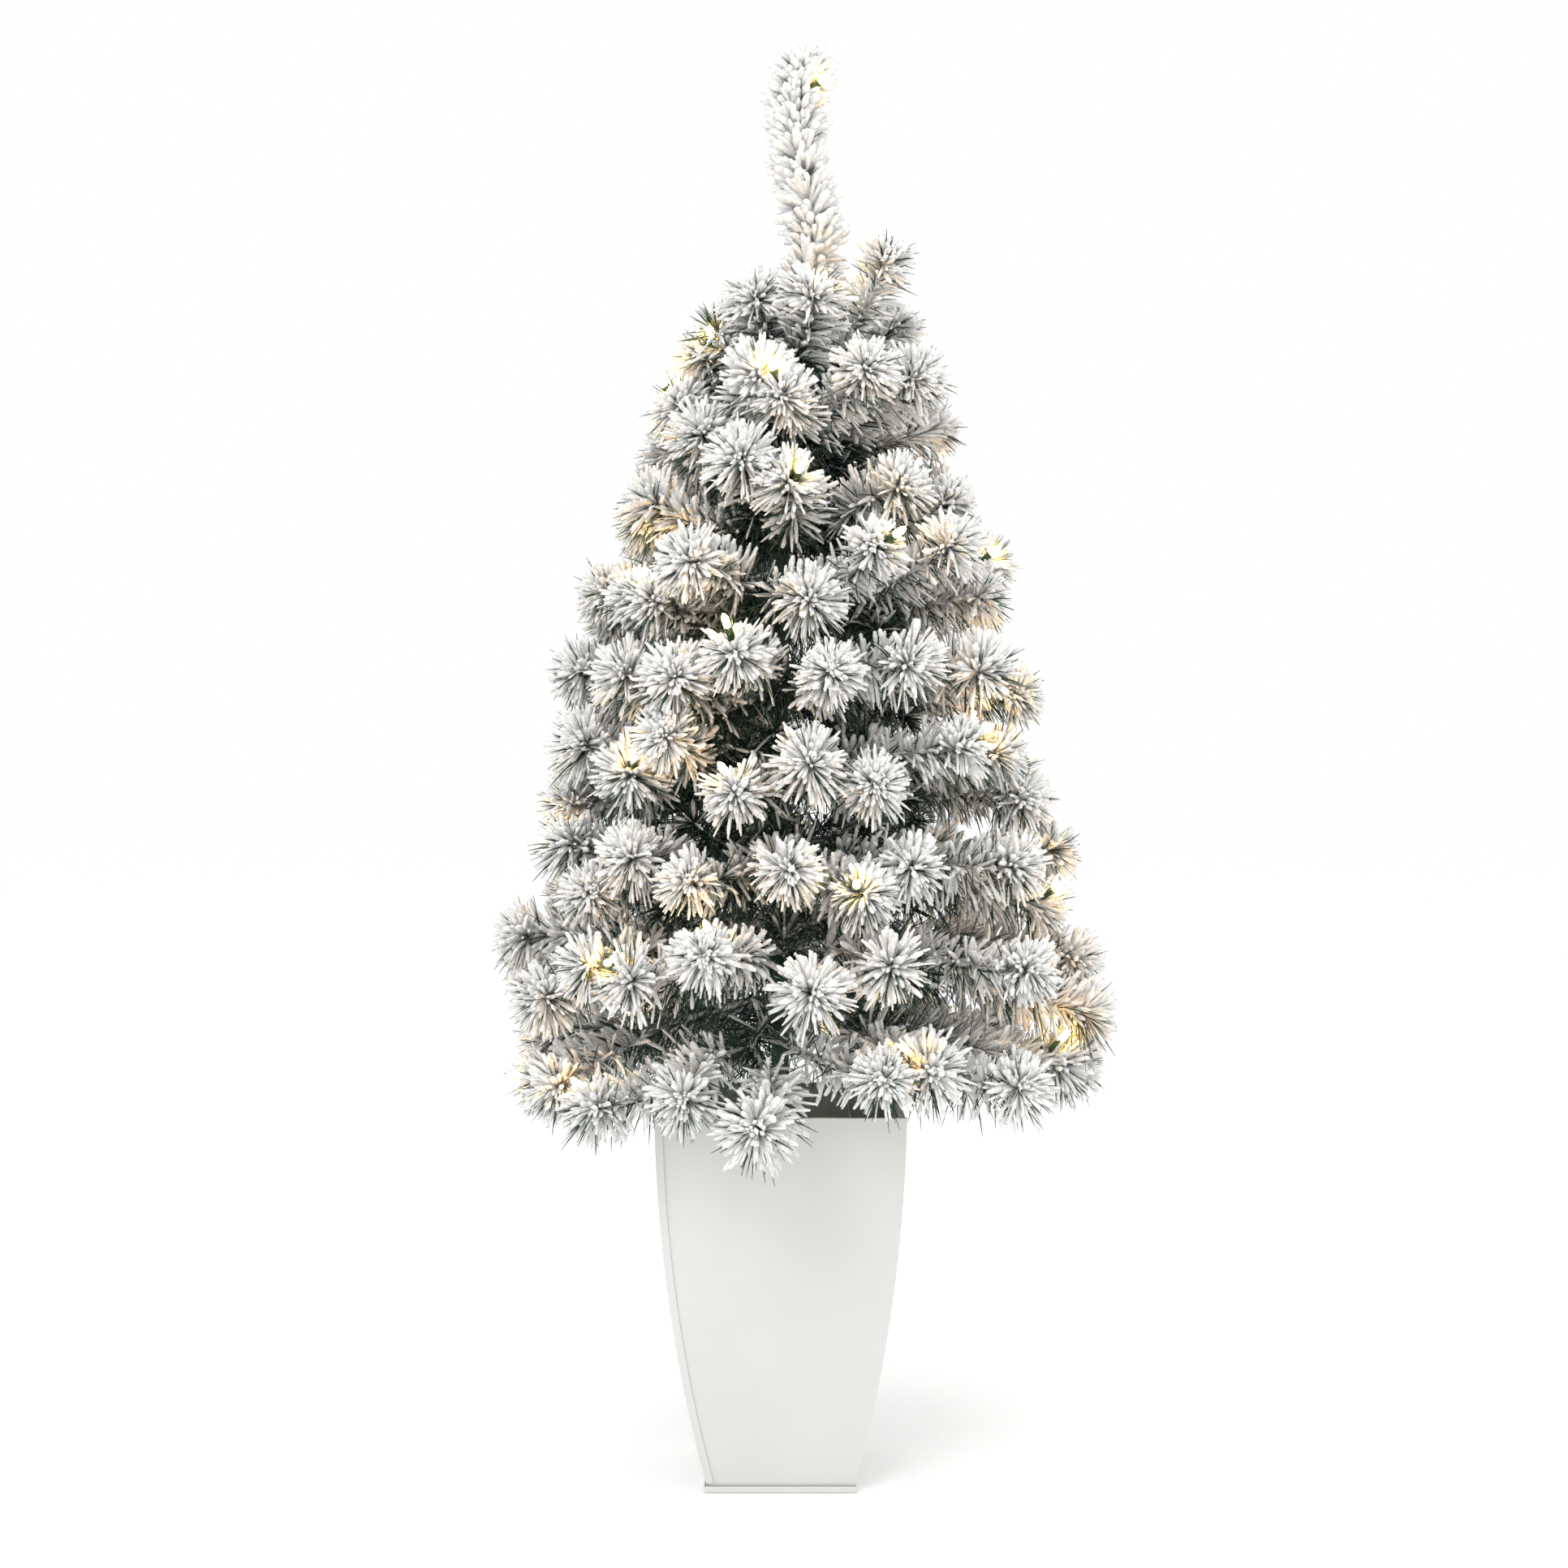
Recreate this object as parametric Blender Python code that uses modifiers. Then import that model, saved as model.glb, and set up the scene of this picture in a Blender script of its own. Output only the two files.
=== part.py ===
"""Flocked tabletop tree with warm lamps, standing in a tall tapered planter of painted sheet metal.

Metres, +Z up, the front looks along -Y. The origin is the middle of the planter's base, on the floor.
The tree lifts out of the planter, every branch bends up and down at its binding on the trunk, and the
leader bends sideways at the trunk's top. Azimuths are in degrees about +Z, counted from +X.
"""

import math

import bmesh
import bpy
from mathutils import Matrix, Vector

# Gaps
GAP = 0.0003
RUNNING_GAP = 0.0005

# Planter: four folded sheet panels in a pinwheel, a base tray, a cast ballast block and its socket
PLANTER_H = 0.292
RIM_HALF = 0.094
BASE_HALF = 0.055
STRAIGHT_SHARE = 0.13
SHEET_T = 0.0008
LIP = 0.005
FLANGE = 0.006
FLANGE_ABOVE_BAND = 0.0023
PANEL_ROWS = 14
BAND_H = 0.0045
BALLAST_TOP = 0.080
BALLAST_CLEARANCE = 0.0035
SOCKET_WALL = 0.0016
SOCKET_FOOT = 0.020
SOCKET_PROUD = 0.030
SOCKET_CHAMFER = 0.0006

# Trunk and the bindings that hold the branches on it
POLE_R = 0.007
POLE_WALL = 0.0012
POLE_ABOVE_LAST_TIER = 0.053
BINDING_WALL = 0.006
BINDING_H = 0.012
BINDING_CHAMFER = 0.001

# Branches: a stem, and tips that fork from it
FIRST_TIER_ABOVE_RIM = 0.080
TIER_PITCH = 0.060
NECK_R = 0.0026
NECK_CLEARANCE = 0.0014
NECK_L = 0.0045
STEM_R = 0.0032
STEM_INSERT = 0.0032
INSERT_CLEARANCE = 0.0010
STEM_PAST_FORK = 0.005
CORE_R = 0.0075
TIP_R = 0.0032
FORK_R = 0.0023
OUTER_FORK = 0.38
INNER_FORK = 0.52
FORK_STAGGER = 0.03
OUTER_TIPS_FROM = 0.8
KNEE_SHARE = 0.5
TIP_STATIONS = ((0.0, FORK_R), (0.32, CORE_R * 0.85), (0.66, CORE_R), (1.0, TIP_R))
TIP_ZIGZAG = 0.012
TIP_TURN_UP = 8.0
SIDE_SHIFT = 0.017
REACH_SPREAD = 0.045
AZIMUTH_SPREAD = 0.20
HEIGHT_SPREAD = 0.008

# Tiers, lowest first: branches, tips on each, azimuth of the first branch, reach, rise in degrees
TIERS = (
    (5, 4, -101.0, 0.210, -14.0),
    (5, 4, -88.0, 0.217, -8.5),
    (5, 4, -82.0, 0.190, -5.0),
    (5, 4, -75.0, 0.175, 0.0),
    (4, 4, -89.0, 0.170, 5.0),
    (4, 4, -100.0, 0.150, 12.0),
    (4, 3, -105.0, 0.124, 19.0),
    (3, 4, -96.0, 0.107, 27.0),
    (3, 3, -100.0, 0.075, 40.0),
)

# Leader: (height above the trunk's top, distance to the right) along its bent wire
LEADER_CLEARANCE = 0.0018
LEADER_CORE_R = 0.0080
LEADER_INSERT = 0.004
LEADER_BEND = (
    (0.004, 0.001),
    (0.026, 0.014),
    (0.058, 0.028),
    (0.100, 0.022),
    (0.140, 0.014),
    (0.172, 0.013),
    (0.203, 0.018),
)

# Lamp at the leader's top, light string up the trunk, and the inlet at the string's foot
LAMP_HEIGHT = 0.180
LAMP_DIRECTION = (0.75, -0.50, 0.45)
HOLDER_R = 0.0030
HOLDER_L = 0.0120
BULB_R = 0.0026
BULB_L = 0.0110
WIRE_R = 0.0013
WIRE_STEPS = 4
RISER_AZIMUTH = 100.0
RISER_END_BELOW_TOP = 0.006
INLET_ABOVE_SOCKET = 0.027
INLET_WIDTH = 0.014
INLET_DEPTH = 0.009
INLET_HEIGHT = 0.026
INLET_EDGE = 0.0012
INLET_PIN_R = 0.0013
INLET_PIN_PITCH = 0.006
INLET_PIN_DEPTH = 0.008

SMOOTH_ANGLE = math.radians(35)
MERGE_DISTANCE = 0.000005
UP = Vector((0.0, 0.0, 1.0))


def clear_scene():
    for obj in list(bpy.data.objects):
        bpy.data.objects.remove(obj, do_unlink=True)


def new_collection(name):
    made = bpy.data.collections.new(name)
    bpy.context.scene.collection.children.link(made)
    return made


clear_scene()
PARTS = new_collection("tabletop_tree")
CUTTERS = new_collection("cutters")


def material(name, colour, roughness, metallic=0.0):
    made = bpy.data.materials.new(name)
    made.use_nodes = True
    shader = made.node_tree.nodes["Principled BSDF"]
    shader.inputs["Base Color"].default_value = (*colour, 1.0)
    shader.inputs["Roughness"].default_value = roughness
    shader.inputs["Metallic"].default_value = metallic
    return made


WHITE_PAINT = material("white_satin_paint", (0.80, 0.81, 0.79), 0.38)
CEMENT = material("cast_cement", (0.46, 0.45, 0.42), 0.90)
STEEL = material("zinc_plated_steel", (0.62, 0.63, 0.64), 0.35, 1.0)
TRUNK_PAINT = material("dark_green_paint", (0.04, 0.08, 0.05), 0.50)
BINDING_TAPE = material("green_binding_tape", (0.05, 0.10, 0.06), 0.70)
FLOCK = material("white_flock", (0.88, 0.89, 0.90), 0.95)
WARM_LAMP = material("warm_lamp", (1.0, 0.72, 0.32), 0.20)
CABLE = material("green_cable", (0.03, 0.09, 0.05), 0.45)
CONNECTOR = material("green_connector", (0.03, 0.08, 0.05), 0.40)


# ---------------------------------------------------------------- making solids


def add_object(name, mesh, finish, parent=None, collection=PARTS):
    made = bpy.data.objects.new(name, mesh)
    mesh.materials.clear()
    mesh.materials.append(finish)
    made.parent = parent
    collection.objects.link(made)
    return made


def mesh_from(name, work):
    mesh = bpy.data.meshes.new(name)
    work.to_mesh(mesh)
    work.free()
    return mesh


def empty_at(name, location, parent=None):
    made = bpy.data.objects.new(name, None)
    made.location = location
    made.parent = parent
    PARTS.objects.link(made)
    return made


def cut(obj, cutter, operation="DIFFERENCE"):
    """Cuts the cutter out of obj, or joins it on, and keeps it out of the part."""
    step = obj.modifiers.new(operation.lower(), "BOOLEAN")
    step.operation = operation
    step.solver = "EXACT"
    step.object = cutter
    cutter.hide_render = True
    cutter.display_type = "WIRE"


def cylinder_mesh(name, radius, foot, top, sides=16):
    """A plain cylinder along Z from foot to top."""
    work = bmesh.new()
    bmesh.ops.create_cone(
        work,
        cap_ends=True,
        segments=sides,
        radius1=radius,
        radius2=radius,
        depth=top - foot,
        matrix=Matrix.Translation((0.0, 0.0, (foot + top) / 2)),
    )
    return mesh_from(name, work)


def box_mesh(name, size, centre):
    work = bmesh.new()
    bmesh.ops.create_cube(
        work, size=1.0, matrix=Matrix.Translation(centre) @ Matrix.Diagonal((*size, 1.0))
    )
    return mesh_from(name, work)


def turned(name, profile, finish, parent=None, steps=16, ring=False):
    """A turned piece: (radius, height) points down its outer side, spun round Z. A ring's profile closes."""
    mesh = bpy.data.meshes.new(name)
    edges = [(i, i + 1) for i in range(len(profile) - 1)]
    if ring:
        edges.append((len(profile) - 1, 0))
    mesh.from_pydata([(r, 0.0, z) for r, z in profile], edges, [])
    made = add_object(name, mesh, finish, parent)
    spin = made.modifiers.new("turn", "SCREW")
    spin.steps = steps
    spin.render_steps = steps
    spin.use_merge_vertices = True
    spin.merge_threshold = MERGE_DISTANCE
    spin.use_smooth_shade = True
    return made


def tube_mesh(name, points, radii, sides_level):
    """A round tube through the points, with these radii, as one closed mesh."""
    thickest = max(radii)
    curve = bpy.data.curves.new(name, "CURVE")
    curve.dimensions = "3D"
    curve.bevel_depth = thickest
    curve.bevel_resolution = sides_level
    curve.use_fill_caps = True
    spline = curve.splines.new("POLY")
    spline.points.add(len(points) - 1)
    for slot, point, radius in zip(spline.points, points, radii):
        slot.co = (*point, 1.0)
        slot.radius = radius / thickest
    guide = bpy.data.objects.new(name + "_guide", curve)
    CUTTERS.objects.link(guide)
    graph = bpy.context.evaluated_depsgraph_get()
    mesh = bpy.data.meshes.new_from_object(guide.evaluated_get(graph))
    bpy.data.objects.remove(guide, do_unlink=True)
    work = bmesh.new()
    work.from_mesh(mesh)
    bmesh.ops.remove_doubles(work, verts=work.verts, dist=MERGE_DISTANCE)
    bmesh.ops.recalc_face_normals(work, faces=work.faces)
    work.to_mesh(mesh)
    work.free()
    mesh.shade_smooth()
    mesh.set_sharp_from_angle(angle=SMOOTH_ANGLE)
    return mesh


# ---------------------------------------------------------------- planter


def half_width(z):
    """Half the planter's width across its panels' outer faces at this height: it bulges as it tapers."""
    down = 1.0 - z / PLANTER_H
    share = STRAIGHT_SHARE * down + (1.0 - STRAIGHT_SHARE) * down * down
    return RIM_HALF - (RIM_HALF - BASE_HALF) * share


PANEL_FOOT = SHEET_T + GAP
FLANGE_FOOT = BAND_H + FLANGE_ABOVE_BAND
LAP = SHEET_T + GAP
FREE_EDGE, LIP_END, FOLD, FLANGE_EDGE = range(4)


def panel_point(column, row, heights):
    """A point of a panel's outer surface, seen as the front panel. The row past the last height is the lip's."""
    on_lip = row == len(heights)
    z = PLANTER_H if on_lip else heights[row]
    half = half_width(z)
    if on_lip:
        inner = half - LAP - LIP
        return Vector((-inner if column == FREE_EDGE else inner, LIP - half, z))
    along = {
        FREE_EDGE: LAP - half,
        LIP_END: half - 2 * LAP,
        FOLD: half + LAP,
        FLANGE_EDGE: half + LAP,
    }[column]
    return Vector((along, FLANGE - half if column == FLANGE_EDGE else -half, z))


def panel_mesh(name):
    """A bulging wall, a flange that laps over the next wall's edge, and a lip turned in along the top."""
    climb = (PLANTER_H - FLANGE_FOOT) / PANEL_ROWS
    heights = [PANEL_FOOT] + [FLANGE_FOOT + climb * i for i in range(PANEL_ROWS + 1)]
    lip_row = len(heights)
    work = bmesh.new()
    bmesh.ops.create_grid(work, x_segments=FLANGE_EDGE, y_segments=lip_row, size=1.0)
    cell = {
        vert: (
            round((vert.co.x + 1) / 2 * FLANGE_EDGE),
            round((vert.co.y + 1) / 2 * lip_row),
        )
        for vert in work.verts
    }
    spare = []
    for face in work.faces:
        last_column = max(cell[vert][0] for vert in face.verts)
        rows = {cell[vert][1] for vert in face.verts}
        below_flange = last_column == FLANGE_EDGE and 0 in rows
        beside_lip = last_column > LIP_END and lip_row in rows
        if below_flange or beside_lip:
            spare.append(face)
    for vert, (column, row) in cell.items():
        vert.co = panel_point(column, row, heights)
    bmesh.ops.delete(work, geom=spare, context="FACES")
    return mesh_from(name, work)


def build_panels():
    for turn, side in enumerate(("front", "right", "back", "left")):
        name = "planter_panel_" + side
        panel = add_object(name, panel_mesh(name), WHITE_PAINT)
        panel.rotation_euler.z = math.radians(90 * turn)
        sheet = panel.modifiers.new("sheet", "SOLIDIFY")
        sheet.thickness = SHEET_T
        sheet.offset = -1.0
        sheet.use_even_offset = True
        sheet.use_quality_normals = True


def build_base_tray():
    """A square tray whose upturned band stands round the panels' feet."""
    inner = half_width(BAND_H) + LAP + GAP
    outer = inner + SHEET_T
    tray = add_object(
        "planter_base_tray",
        box_mesh("planter_base_tray", (2 * outer, 2 * outer, BAND_H), (0, 0, BAND_H / 2)),
        WHITE_PAINT,
    )
    hollow = box_mesh(
        "tray_hollow", (2 * inner, 2 * inner, BAND_H), (0, 0, SHEET_T + BAND_H / 2)
    )
    cut(tray, add_object("tray_hollow", hollow, WHITE_PAINT, collection=CUTTERS))


SOCKET_BORE = POLE_R + RUNNING_GAP
SOCKET_R = SOCKET_BORE + SOCKET_WALL
SOCKET_TOP = BALLAST_TOP + SOCKET_PROUD
POLE_FOOT = SOCKET_FOOT + SOCKET_WALL + GAP


def build_ballast():
    """A square cast block that fills the planter's foot, with a hole for the trunk's socket."""
    foot_half = half_width(PANEL_FOOT) - SHEET_T - BALLAST_CLEARANCE
    top_half = half_width(BALLAST_TOP) - SHEET_T - BALLAST_CLEARANCE
    work = bmesh.new()
    bmesh.ops.create_cone(
        work,
        cap_ends=True,
        segments=4,
        radius1=foot_half * math.sqrt(2),
        radius2=top_half * math.sqrt(2),
        depth=BALLAST_TOP - PANEL_FOOT,
        matrix=Matrix.Translation((0, 0, (BALLAST_TOP + PANEL_FOOT) / 2))
        @ Matrix.Rotation(math.radians(45), 4, "Z"),
    )
    ballast = add_object("planter_ballast", mesh_from("planter_ballast", work), CEMENT)
    hole = cylinder_mesh(
        "ballast_hole", SOCKET_R + GAP, SOCKET_FOOT - GAP, SOCKET_TOP, sides=20
    )
    cut(ballast, add_object("ballast_hole", hole, CEMENT, collection=CUTTERS))


def build_socket():
    """A steel cup cast into the ballast, which the trunk stands in."""
    profile = [
        (SOCKET_BORE, SOCKET_TOP),
        (SOCKET_R - SOCKET_CHAMFER, SOCKET_TOP),
        (SOCKET_R, SOCKET_TOP - SOCKET_CHAMFER),
        (SOCKET_R, SOCKET_FOOT),
        (0.0, SOCKET_FOOT),
        (0.0, SOCKET_FOOT + SOCKET_WALL),
        (SOCKET_BORE, SOCKET_FOOT + SOCKET_WALL),
    ]
    turned("trunk_socket", profile, STEEL, steps=20, ring=True)


# ---------------------------------------------------------------- trunk


BINDING_R = POLE_R + GAP + BINDING_WALL
POLE_BORE = POLE_R - POLE_WALL
POCKET_R = NECK_R + NECK_CLEARANCE
POCKET_DEPTH = STEM_INSERT + INSERT_CLEARANCE


def tier_height(tier):
    return PLANTER_H + FIRST_TIER_ABOVE_RIM + TIER_PITCH * tier


POLE_TOP = tier_height(len(TIERS) - 1) + POLE_ABOVE_LAST_TIER


def branch_azimuth(tier, branch):
    count, _, first, _, _ = TIERS[tier]
    return first + 360.0 / count * branch


def build_trunk(tree):
    profile = [
        (POLE_BORE, POLE_TOP),
        (POLE_R, POLE_TOP),
        (POLE_R, POLE_FOOT),
        (POLE_BORE, POLE_FOOT),
    ]
    turned("trunk_pole", profile, TRUNK_PAINT, tree, ring=True)


def build_binding(tree, tier):
    """A wound collar on the trunk, with a pocket for the neck of each branch."""
    low, high = -BINDING_H / 2, BINDING_H / 2
    bore = POLE_R + GAP
    profile = [
        (bore, high),
        (BINDING_R - BINDING_CHAMFER, high),
        (BINDING_R, high - BINDING_CHAMFER),
        (BINDING_R, low + BINDING_CHAMFER),
        (BINDING_R - BINDING_CHAMFER, low),
        (bore, low),
    ]
    name = f"tier{tier + 1}_binding"
    binding = turned(name, profile, BINDING_TAPE, tree, steps=15, ring=True)
    binding.location.z = tier_height(tier)
    for branch in range(TIERS[tier][0]):
        pocket_name = f"{name}_pocket{branch + 1}"
        floor = BINDING_R - POCKET_DEPTH
        pocket = cylinder_mesh(pocket_name, POCKET_R, floor, BINDING_R + POCKET_DEPTH, 10)
        cutter = add_object(pocket_name, pocket, BINDING_TAPE, tree, CUTTERS)
        cutter.location.z = tier_height(tier)
        turn = Matrix.Rotation(math.radians(branch_azimuth(tier, branch)), 4, "Z")
        cutter.rotation_euler = (turn @ Matrix.Rotation(math.radians(90), 4, "Y")).to_euler()
        cut(binding, cutter)


# ---------------------------------------------------------------- branches


def wobble(*keys):
    """A fixed pseudo-random value from -1 to 1 for these whole numbers."""
    mixed = math.sin(sum(k * w for k, w in zip(keys, (12.9898, 78.233, 37.719, 4.581))))
    return 2.0 * ((mixed * 43758.5453) % 1.0) - 1.0


def outward(azimuth, rise=0.0):
    """The unit vector that points this way round and this far above the horizon, both in degrees."""
    flat = math.cos(math.radians(rise))
    return Vector(
        (
            flat * math.cos(math.radians(azimuth)),
            flat * math.sin(math.radians(azimuth)),
            math.sin(math.radians(rise)),
        )
    )


def stem_point(tier, branch, reach):
    """A point on a branch's stem, this far out from the trunk's axis."""
    rise = math.radians(TIERS[tier][4])
    bent = max(0.0, reach - BINDING_R - NECK_L)
    return (
        outward(branch_azimuth(tier, branch)) * reach
        + UP * (tier_height(tier) + bent * math.tan(rise))
    )


def tip_ends(tier, branch, tip):
    """Where a tip forks from its stem, the knee that its curve leans to, and where its wire ends."""
    count, tips, _, tier_reach, rise = TIERS[tier]
    spacing = 360.0 / (count * tips)
    place = tip - (tips - 1) / 2
    azimuth = branch_azimuth(tier, branch) + spacing * (
        place + AZIMUTH_SPREAD * wobble(tier, branch, tip, 1)
    )
    reach = tier_reach * (1.0 + REACH_SPREAD * wobble(tier, branch, tip, 2))
    reach += SIDE_SHIFT * math.cos(math.radians(azimuth))
    zigzag = TIP_ZIGZAG if (tip + branch) % 2 else -TIP_ZIGZAG
    height = (
        tier_height(tier)
        + (reach - BINDING_R - NECK_L) * math.tan(math.radians(rise))
        + zigzag
        + HEIGHT_SPREAD * wobble(tier, branch, tip, 3)
    )
    outer = abs(place) > OUTER_TIPS_FROM * (tips - 1) / 2
    share = (OUTER_FORK if outer else INNER_FORK) + FORK_STAGGER * place
    fork = stem_point(tier, branch, tier_reach * share)
    end = outward(azimuth) * reach + UP * height
    knee = end - outward(azimuth, rise + TIP_TURN_UP) * ((end - fork).length * KNEE_SHARE)
    return fork, knee, end


def bezier(start, knee, end, t):
    return start * (1 - t) ** 2 + knee * 2 * t * (1 - t) + end * t * t


def build_branch(tree, tier, branch):
    """A stem and its tips, joined, about a hinge where the stem's neck enters the binding."""
    azimuth = branch_azimuth(tier, branch)
    hinge = outward(azimuth) * BINDING_R + UP * tier_height(tier)
    to_local = Matrix.Rotation(math.radians(-azimuth), 4, "Z") @ Matrix.Translation(-hinge)
    name = f"tier{tier + 1}_branch{branch + 1}"
    _, tips, _, tier_reach, _ = TIERS[tier]
    neck_end = BINDING_R + NECK_L
    last = tier_reach * (INNER_FORK + FORK_STAGGER / 2) + STEM_PAST_FORK
    reaches = (BINDING_R - STEM_INSERT, neck_end, neck_end + NECK_L, last)
    stem_line = [to_local @ stem_point(tier, branch, reach) for reach in reaches]
    stem = tube_mesh(name, stem_line, (NECK_R, NECK_R, STEM_R, STEM_R), 1)
    made = add_object(name, stem, FLOCK, tree)
    made.location = hinge
    made.rotation_euler.z = math.radians(azimuth)
    for tip in range(tips):
        fork, knee, end = tip_ends(tier, branch, tip)
        line = [to_local @ bezier(fork, knee, end, t) for t, _ in TIP_STATIONS]
        radii = [radius for _, radius in TIP_STATIONS]
        tip_name = f"{name}_tip{tip + 1}"
        cutter = add_object(
            tip_name, tube_mesh(tip_name, line, radii, 1), FLOCK, tree, CUTTERS
        )
        cutter.location = made.location
        cutter.rotation_euler = made.rotation_euler
        cut(made, cutter, "UNION")


# ---------------------------------------------------------------- leader and lamp


LEADER_R = POLE_BORE - LEADER_CLEARANCE


def leader_axis(height):
    """The leader's axis at this height above the trunk's top, about the hinge there."""
    for (low, before), (high, after) in zip(LEADER_BEND, LEADER_BEND[1:]):
        if height <= high:
            share = (height - low) / (high - low)
            return Vector((before + (after - before) * share, 0.0, height))
    return Vector((LEADER_BEND[-1][1], 0.0, LEADER_BEND[-1][0]))


def build_leader(tree):
    """The upright top of the tree: a bent wire whose foot stands in the trunk's open end."""
    pivot = empty_at("leader_pivot", (0.0, 0.0, POLE_TOP), tree)
    line = [Vector((0.0, 0.0, -LEADER_INSERT))]
    line += [Vector((aside, 0.0, height)) for height, aside in LEADER_BEND]
    radii = [LEADER_R, LEADER_R] + [LEADER_CORE_R] * (len(LEADER_BEND) - 2) + [TIP_R]
    add_object("leader", tube_mesh("leader", line, radii, 2), FLOCK, pivot)
    return pivot


def build_leader_lamp(pivot):
    """A lamp in its holder, set against the leader near the top."""
    total = HOLDER_L + BULB_L
    profile = [
        (0.0, total),
        (BULB_R * 0.62, total - BULB_R * 0.30),
        (BULB_R, total - BULB_R * 1.2),
        (BULB_R, HOLDER_L),
        (HOLDER_R, HOLDER_L),
        (HOLDER_R, HOLDER_R * 0.5),
        (HOLDER_R * 0.6, 0.0),
        (0.0, 0.0),
    ]
    lamp = turned("leader_lamp", profile, WARM_LAMP, pivot, steps=10)
    direction = Vector(LAMP_DIRECTION).normalized()
    level = math.hypot(direction.x, direction.y)
    stand_off = (LEADER_CORE_R + HOLDER_R * direction.z + GAP) / level
    lamp.location = leader_axis(LAMP_HEIGHT) + direction * stand_off
    lamp.rotation_euler = direction.to_track_quat("Z", "Y").to_euler()


# ---------------------------------------------------------------- light string


INLET_Z = SOCKET_TOP + INLET_ABOVE_SOCKET + INLET_HEIGHT / 2


def gap_azimuth(tier):
    """The middle of the gap between two branches of this tier that is nearest to the riser's side."""
    count = TIERS[tier][0]
    gaps = [branch_azimuth(tier, branch + 0.5) for branch in range(-count, 2 * count)]
    return min(gaps, key=lambda azimuth: abs(azimuth - RISER_AZIMUTH))


def build_riser(tree):
    """The light string's main lead, up the back of the trunk and between the branches of every tier."""
    out = BINDING_R + WIRE_R + GAP
    stops = [(INLET_Z + INLET_HEIGHT / 2 + GAP, RISER_AZIMUTH)]
    stops += [(tier_height(tier), gap_azimuth(tier)) for tier in range(len(TIERS))]
    stops.append((POLE_TOP - RISER_END_BELOW_TOP, stops[-1][1]))
    line = [outward(stops[0][1]) * out + UP * stops[0][0]]
    for (low, before), (high, after) in zip(stops, stops[1:]):
        for step in range(1, WIRE_STEPS + 1):
            share = step / WIRE_STEPS
            eased = share * share * (3 - 2 * share)
            azimuth = before + (after - before) * eased
            line.append(outward(azimuth) * out + UP * (low + (high - low) * share))
    mesh = tube_mesh("light_string_riser", line, [WIRE_R] * len(line), 1)
    add_object("light_string_riser", mesh, CABLE, tree)


def build_inlet(tree):
    """The string's power connector, held against the trunk's foot, with two sockets in its underside."""
    out = POLE_R + GAP + INLET_DEPTH / 2
    size = (INLET_DEPTH, INLET_WIDTH, INLET_HEIGHT)
    inlet = add_object("power_inlet", box_mesh("power_inlet", size, (out, 0, 0)), CONNECTOR, tree)
    inlet.location.z = INLET_Z
    inlet.rotation_euler.z = math.radians(RISER_AZIMUTH)
    edges = inlet.modifiers.new("edges", "BEVEL")
    edges.width = INLET_EDGE
    edges.segments = 1
    foot = -INLET_HEIGHT / 2
    for side in (-1, 1):
        name = f"inlet_pin_{'left' if side < 0 else 'right'}"
        pin = cylinder_mesh(name, INLET_PIN_R, foot - INLET_PIN_DEPTH, foot + INLET_PIN_DEPTH, 8)
        pin.transform(Matrix.Translation((out, side * INLET_PIN_PITCH / 2, 0)))
        cutter = add_object(name, pin, CONNECTOR, tree, CUTTERS)
        cutter.location = inlet.location
        cutter.rotation_euler = inlet.rotation_euler
        cut(inlet, cutter)


def build():
    build_panels()
    build_base_tray()
    build_ballast()
    build_socket()
    tree = empty_at("tree_lift", (0.0, 0.0, 0.0))
    build_trunk(tree)
    for tier in range(len(TIERS)):
        build_binding(tree, tier)
        for branch in range(TIERS[tier][0]):
            build_branch(tree, tier, branch)
    build_leader_lamp(build_leader(tree))
    build_riser(tree)
    build_inlet(tree)


build()
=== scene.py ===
"""Looks for the flocked tabletop tree: needles, flock, twigs, lamps and leads on the bodies of the tree.

Every tip of every branch gets two kinds of needle. Flocked needles are thick with white fibre and lie
mostly on the upper and outer side of a tip. Bare needles are thin and green and show below, inside and
past the flock. Short twigs on the inner part of each stem hide the trunk. Each branch's needles, wires
and lamps ride on that branch's body, so they swing with it.
"""

import math

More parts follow.
